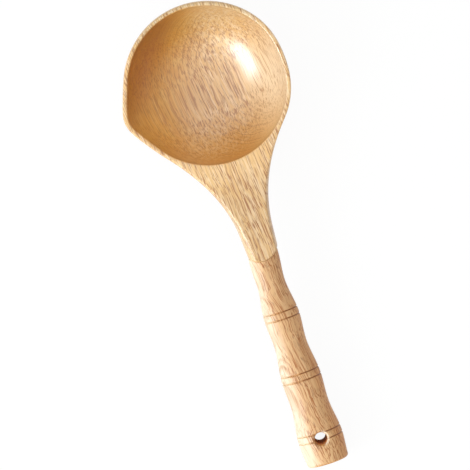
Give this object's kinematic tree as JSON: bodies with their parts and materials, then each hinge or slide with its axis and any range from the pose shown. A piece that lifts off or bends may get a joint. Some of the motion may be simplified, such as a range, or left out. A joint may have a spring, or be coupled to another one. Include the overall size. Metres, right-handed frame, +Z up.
{
  "type": "sauna ladle",
  "caption": "Wooden sauna ladle with a round bowl, a pouring spout on its left side, a flat-topped neck and a turned, bamboo-form handle with a hanging hole",
  "frame": {"origin": "middle of the flat foot under the bowl, on the surface that the ladle lies on", "axes": "+X along the ladle from the bowl towards the handle's butt end, +Z up, +Y to the right with the handle towards the viewer; the spout points towards -Y"},
  "size_m": [0.328, 0.1175, 0.0541],
  "materials": {
    "bowl_wood": "clear gloss lacquer over pale tan hardwood",
    "handle_wood": "clear satin lacquer over tan hardwood",
    "dowel_wood": "bare beech"
  },
  "bodies": {
    "root": {"bowl": "bowl_wood", "handle": "handle_wood", "handle_dowel": "dowel_wood"}
  },
  "joints": []
}
